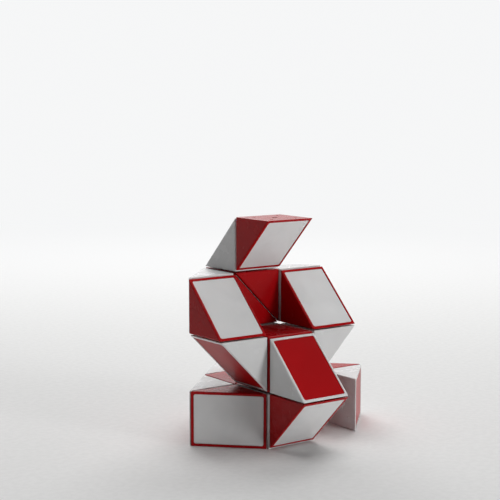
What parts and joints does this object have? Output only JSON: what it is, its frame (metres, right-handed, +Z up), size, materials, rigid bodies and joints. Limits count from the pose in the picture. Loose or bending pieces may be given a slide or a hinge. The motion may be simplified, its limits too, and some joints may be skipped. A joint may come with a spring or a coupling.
{
  "type": "twisty snake puzzle",
  "caption": "Chain of hollow right-angle wedges with covers in a second colour, joined by sprung swivel pivots and folded into a standing figure",
  "frame": {"origin": "middle of the base of the folded figure's box, on the surface it stands on", "axes": "+Z up, -Y towards the front of the folded figure, +X to the viewer's right"},
  "size_m": [0.0868, 0.0862, 0.0875],
  "materials": {
    "red_shell": "glossy moulded",
    "white_shell": "glossy moulded",
    "red_cover": "glossy moulded",
    "white_cover": "glossy moulded",
    "steel": "zinc plated"
  },
  "bodies": {
    "wedge_01": {"wedge_01_shell": "red_shell", "wedge_01_cover": "white_cover"},
    "wedge_02": {"wedge_02_shell": "white_shell", "wedge_02_cover": "red_cover", "wedge_02_pivots": "steel"},
    "wedge_03": {"wedge_03_shell": "red_shell", "wedge_03_cover": "white_cover"},
    "wedge_04": {"wedge_04_shell": "white_shell", "wedge_04_cover": "red_cover", "wedge_04_pivots": "steel"},
    "wedge_05": {"wedge_05_shell": "red_shell", "wedge_05_cover": "white_cover"},
    "wedge_06": {"wedge_06_shell": "white_shell", "wedge_06_cover": "red_cover", "wedge_06_pivots": "steel"},
    "wedge_07": {"wedge_07_shell": "red_shell", "wedge_07_cover": "white_cover"},
    "wedge_08": {"wedge_08_shell": "white_shell", "wedge_08_cover": "red_cover", "wedge_08_pivots": "steel"},
    "wedge_09": {"wedge_09_shell": "red_shell", "wedge_09_cover": "white_cover"},
    "wedge_10": {"wedge_10_shell": "white_shell", "wedge_10_cover": "red_cover", "wedge_10_pivots": "steel"},
    "wedge_11": {"wedge_11_shell": "red_shell", "wedge_11_cover": "white_cover"},
    "wedge_12": {"wedge_12_shell": "white_shell", "wedge_12_cover": "red_cover", "wedge_12_pivots": "steel"},
    "wedge_13": {"wedge_13_shell": "red_shell", "wedge_13_cover": "white_cover"},
    "wedge_14": {"wedge_14_shell": "white_shell", "wedge_14_cover": "red_cover", "wedge_14_pivots": "steel"},
    "wedge_15": {"wedge_15_shell": "red_shell", "wedge_15_cover": "white_cover"},
    "wedge_16": {"wedge_16_shell": "white_shell", "wedge_16_cover": "red_cover", "wedge_16_pivots": "steel"},
    "wedge_17": {"wedge_17_shell": "red_shell", "wedge_17_cover": "white_cover"},
    "wedge_18": {"wedge_18_shell": "white_shell", "wedge_18_cover": "red_cover", "wedge_18_pivots": "steel"},
    "wedge_19": {"wedge_19_shell": "red_shell", "wedge_19_cover": "white_cover"},
    "wedge_20": {"wedge_20_shell": "white_shell", "wedge_20_cover": "red_cover", "wedge_20_pivots": "steel"},
    "wedge_21": {"wedge_21_shell": "red_shell", "wedge_21_cover": "white_cover"},
    "wedge_22": {"wedge_22_shell": "white_shell", "wedge_22_cover": "red_cover", "wedge_22_pivots": "steel"},
    "wedge_23": {"wedge_23_shell": "red_shell", "wedge_23_cover": "white_cover"},
    "wedge_24": {"wedge_24_shell": "white_shell", "wedge_24_cover": "red_cover", "wedge_24_pivots": "steel"}
  },
  "joints": [
    {"name": "pivot_01_02", "type": "hinge", "parent": "wedge_02", "child": "wedge_01", "pos_m": [-0.01068, 0, 0.07675], "axis": [0, 1, 0], "continuous": true},
    {"name": "pivot_02_03", "type": "hinge", "parent": "wedge_03", "child": "wedge_02", "pos_m": [-0.01068, 0.011, 0.06575], "axis": [0, 0, -1], "continuous": true},
    {"name": "pivot_03_04", "type": "hinge", "parent": "wedge_04", "child": "wedge_03", "pos_m": [0.00032, 0.011, 0.05475], "axis": [1, 0, 0], "range_deg": [-2.5, 2.5]},
    {"name": "pivot_04_05", "type": "hinge", "parent": "wedge_05", "child": "wedge_04", "pos_m": [0.01132, 0, 0.05475], "axis": [0, -1, 0], "range_deg": [-180, 0.6]},
    {"name": "pivot_05_06", "type": "hinge", "parent": "wedge_06", "child": "wedge_05", "pos_m": [0.01132, -0.011, 0.04375], "axis": [0, 0, -1], "range_deg": [-0.8, 270]},
    {"name": "pivot_06_07", "type": "hinge", "parent": "wedge_07", "child": "wedge_06", "pos_m": [0.00032, -0.011, 0.03275], "axis": [-1, 0, 0], "range_deg": [-108, 0.8]},
    {"name": "pivot_07_08", "type": "hinge", "parent": "wedge_08", "child": "wedge_07", "pos_m": [-0.01068, 0, 0.03275], "axis": [0, 1, 0], "range_deg": [-0.6, 2.5]},
    {"name": "pivot_08_09", "type": "hinge", "parent": "wedge_09", "child": "wedge_08", "pos_m": [-0.01068, 0.011, 0.04375], "axis": [0, 0, 1], "range_deg": [-0.6, 2.5]},
    {"name": "pivot_09_10", "type": "hinge", "parent": "wedge_10", "child": "wedge_09", "pos_m": [-0.02168, 0.011, 0.05475], "axis": [-1, 0, 0], "range_deg": [-3, 0.8]},
    {"name": "pivot_10_11", "type": "hinge", "parent": "wedge_11", "child": "wedge_10", "pos_m": [-0.03268, 0, 0.05475], "axis": [0, -1, 0], "range_deg": [-0.8, 180]},
    {"name": "pivot_11_12", "type": "hinge", "parent": "wedge_12", "child": "wedge_11", "pos_m": [-0.03268, -0.011, 0.04375], "axis": [0, 0, -1], "range_deg": [-230, 0.6]},
    {"name": "pivot_12_13", "type": "hinge", "parent": "wedge_13", "child": "wedge_12", "pos_m": [-0.02168, -0.011, 0.03275], "axis": [1, 0, 0], "range_deg": [-2.5, 2.5]},
    {"name": "pivot_13_14", "type": "hinge", "parent": "wedge_14", "child": "wedge_13", "pos_m": [-0.01068, -0.022, 0.03275], "axis": [0, 1, 0], "range_deg": [-2, 2]},
    {"name": "pivot_14_15", "type": "hinge", "parent": "wedge_15", "child": "wedge_14", "pos_m": [-0.01068, -0.033, 0.02175], "axis": [0, 0, 1], "continuous": true},
    {"name": "pivot_15_16", "type": "hinge", "parent": "wedge_16", "child": "wedge_15", "pos_m": [-0.01068, -0.022, 0.01075], "axis": [0, -1, 0], "range_deg": [-1.5, 1.5]},
    {"name": "pivot_16_17", "type": "hinge", "parent": "wedge_17", "child": "wedge_16", "pos_m": [-0.02168, -0.011, 0.01075], "axis": [-1, 0, 0], "range_deg": [-6, 4]},
    {"name": "pivot_17_18", "type": "hinge", "parent": "wedge_18", "child": "wedge_17", "pos_m": [-0.03268, 0, 0.01075], "axis": [0, 1, 0], "range_deg": [-240, 16]},
    {"name": "pivot_18_19", "type": "hinge", "parent": "wedge_19", "child": "wedge_18", "pos_m": [-0.02168, 0.011, 0.01075], "axis": [1, 0, 0], "range_deg": [-9, 9]},
    {"name": "pivot_19_20", "type": "hinge", "parent": "wedge_19", "child": "wedge_20", "pos_m": [-0.01068, 0.022, 0.01075], "axis": [0, -1, 0], "range_deg": [-9, 9]},
    {"name": "pivot_20_21", "type": "hinge", "parent": "wedge_20", "child": "wedge_21", "pos_m": [0.00032, 0.033, 0.01075], "axis": [1, 0, 0], "continuous": true},
    {"name": "pivot_21_22", "type": "hinge", "parent": "wedge_21", "child": "wedge_22", "pos_m": [0.01132, 0.022, 0.01075], "axis": [0, 1, 0], "range_deg": [-9, 9]},
    {"name": "pivot_22_23", "type": "hinge", "parent": "wedge_22", "child": "wedge_23", "pos_m": [0.02232, 0.011, 0.01075], "axis": [-1, 0, 0], "continuous": true},
    {"name": "pivot_23_24", "type": "hinge", "parent": "wedge_23", "child": "wedge_24", "pos_m": [0.03332, 0, 0.01075], "axis": [0, -1, 0], "continuous": true}
  ]
}
